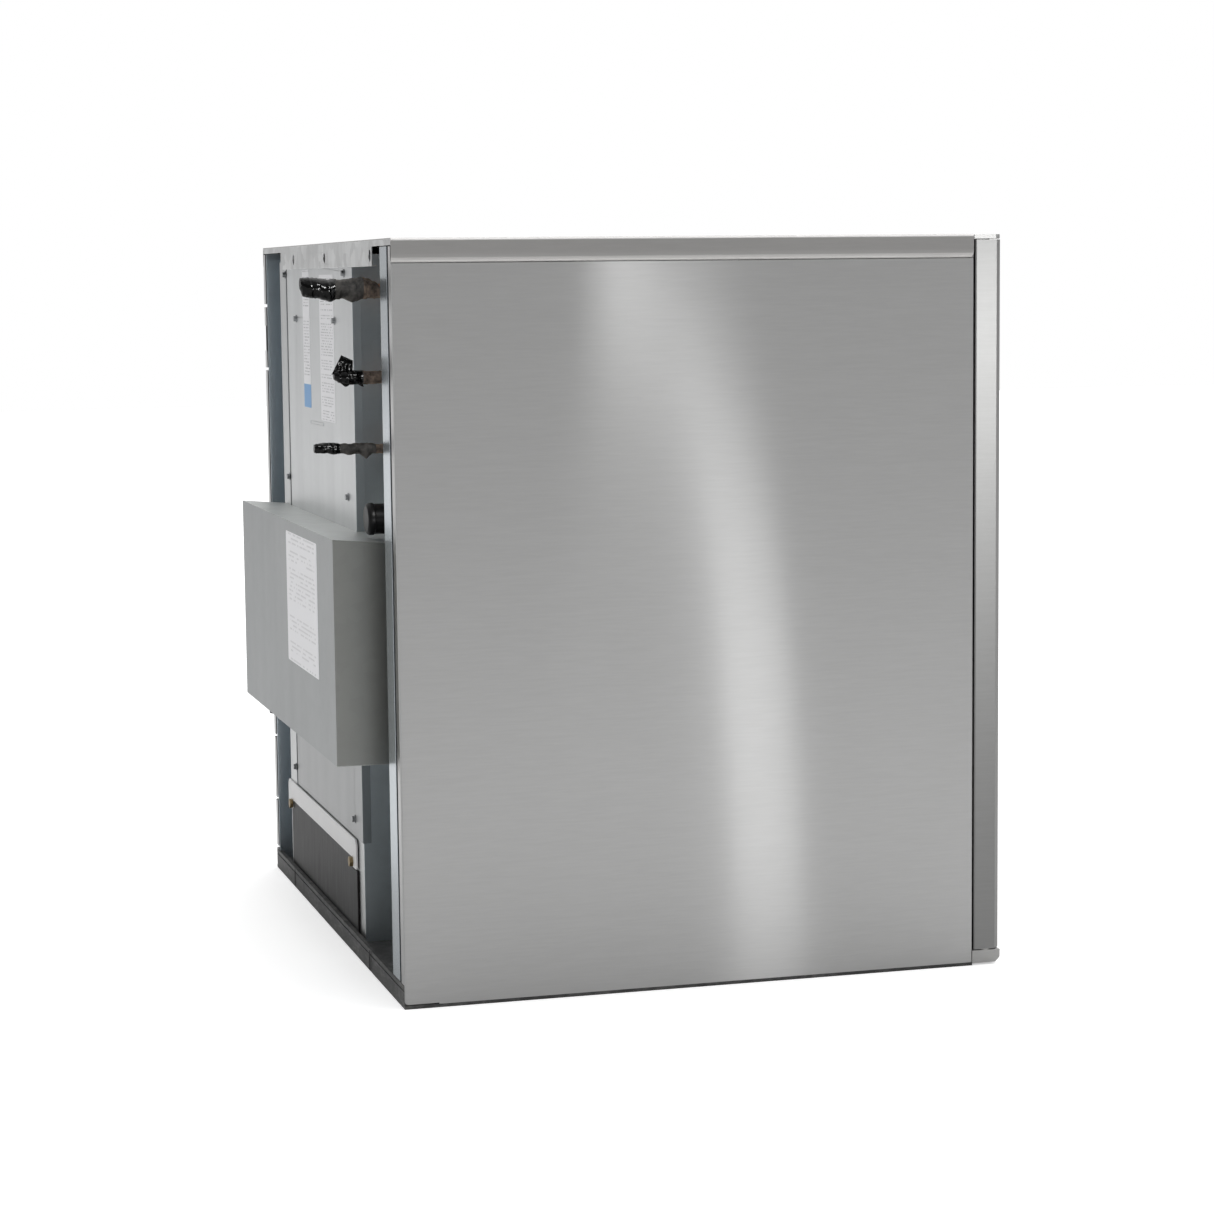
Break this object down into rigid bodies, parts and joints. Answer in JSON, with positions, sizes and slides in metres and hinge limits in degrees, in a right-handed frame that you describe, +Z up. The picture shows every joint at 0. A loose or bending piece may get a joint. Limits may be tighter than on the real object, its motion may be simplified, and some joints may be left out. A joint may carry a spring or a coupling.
{
  "type": "undercounter refrigerator",
  "caption": "Stainless undercounter refrigerator with a hinged door, wire shelves, a rear evaporator housing, a rear control box and taped refrigerant line stubs.",
  "frame": {"origin": "middle of the base tray on the floor, halfway across the side panels and halfway between the front frame and the rear flanges", "axes": "+Z up, the door faces -Y, +X is the handle side of the door"},
  "size_m": [0.76, 0.7455, 0.758],
  "materials": {
    "black_base": "matte",
    "brushed_stainless": "satin",
    "trim_stainless": "satin",
    "room_stainless": "satin",
    "galvanised": "satin",
    "post_zinc": "gloss",
    "foam": "matte",
    "zinc_hardware": "satin",
    "nylon": "matte",
    "splash_black": "satin",
    "white_paint": "satin",
    "brass_bolt": "satin",
    "device_cream": "matte",
    "device_black": "satin",
    "transformer_core": "matte",
    "copper": "satin",
    "pipe_wrap": "matte",
    "white_pipe": "satin",
    "cap_black": "gloss",
    "fins": "satin",
    "motor_grey": "satin",
    "blade_white": "satin",
    "white_plastic": "satin",
    "lamp_lens": "satin",
    "shelf_chrome": "gloss",
    "gasket_grey": "matte"
  },
  "bodies": {
    "cabinet": {"base_tray": "black_base", "left_side_panel": "brushed_stainless", "right_side_panel": "brushed_stainless", "top_cover": "brushed_stainless", "rear_top_rail": "galvanised", "left_rear_post": "post_zinc", "right_rear_post": "post_zinc", "outer_shell": "galvanised", "foam_insulation": "foam", "inner_liner": "room_stainless", "front_frame": "trim_stainless", "toe_rail": "trim_stainless", "top_hinge_strip": "brushed_stainless", "hinge_pins": "zinc_hardware", "hinge_washer": "nylon", "evaporator_housing": "galvanised", "housing_lining": "foam", "rear_cover": "galvanised", "hex_screws": "zinc_hardware", "splash_panel": "splash_black", "retaining_bracket": "white_paint", "bracket_bolts": "brass_bolt", "control_box": "galvanised", "control_box_plate": "galvanised", "terminal_block": "device_cream", "relay": "device_black", "transformer": "transformer_core", "cable_gland": "device_black", "suction_line": "copper", "suction_wrap": "pipe_wrap", "hot_gas_line": "copper", "hot_gas_wrap": "pipe_wrap", "liquid_line": "copper", "liquid_wrap": "pipe_wrap", "expansion_valve": "brass_bolt", "drain_tube": "white_pipe", "drain_pan": "room_stainless", "evaporator_fins": "fins", "evaporator_tubes": "copper", "fan_shroud": "device_black", "fan_motor": "motor_grey", "fan_guard": "zinc_hardware", "return_grille": "room_stainless", "thermostat_body": "white_plastic", "door_switch": "white_plastic", "interior_light": "lamp_lens", "shelf_pilasters": "room_stainless", "shelf_clips": "zinc_hardware"},
    "door": {"door_panel": "brushed_stainless", "door_foam": "foam", "door_liner": "white_plastic", "door_gasket": "gasket_grey", "door_handle": "brushed_stainless", "hinge_bushes": "nylon"},
    "fan": {"fan_blade": "blade_white"},
    "knob": {"thermostat_knob": "device_black"},
    "plunger": {"switch_plunger": "device_black"},
    "cap": {"drain_cap": "cap_black"},
    "lower_rack": {"lower_shelf": "shelf_chrome"},
    "upper_rack": {"upper_shelf": "shelf_chrome"}
  },
  "joints": [
    {"name": "door_hinge", "type": "hinge", "parent": "cabinet", "child": "door", "pos_m": [-0.373, -0.3175, 0.384], "axis": [0, 0, -1], "range_deg": [0, 110]},
    {"name": "fan_spin", "type": "hinge", "parent": "cabinet", "child": "fan", "pos_m": [0.085, 0.177, 0.596], "axis": [0, 1, 0], "continuous": true},
    {"name": "thermostat_turn", "type": "hinge", "parent": "cabinet", "child": "knob", "pos_m": [0.28, -0.19, 0.63], "axis": [-1, 0, 0], "range_deg": [-135, 135]},
    {"name": "switch_press", "type": "slide", "parent": "cabinet", "child": "plunger", "axis": [0, 1, 0], "range_m": [0, 0.004], "stiffness_N_per_m": 150},
    {"name": "drain_cap_pull", "type": "slide", "parent": "cabinet", "child": "cap", "axis": [0, 1, 0], "range_m": [0, 0.03]},
    {"name": "lower_shelf_slide", "type": "slide", "parent": "cabinet", "child": "lower_rack", "axis": [0, -1, 0], "range_m": [0, 0.028]},
    {"name": "upper_shelf_slide", "type": "slide", "parent": "cabinet", "child": "upper_rack", "axis": [0, -1, 0], "range_m": [0, 0.028]}
  ]
}
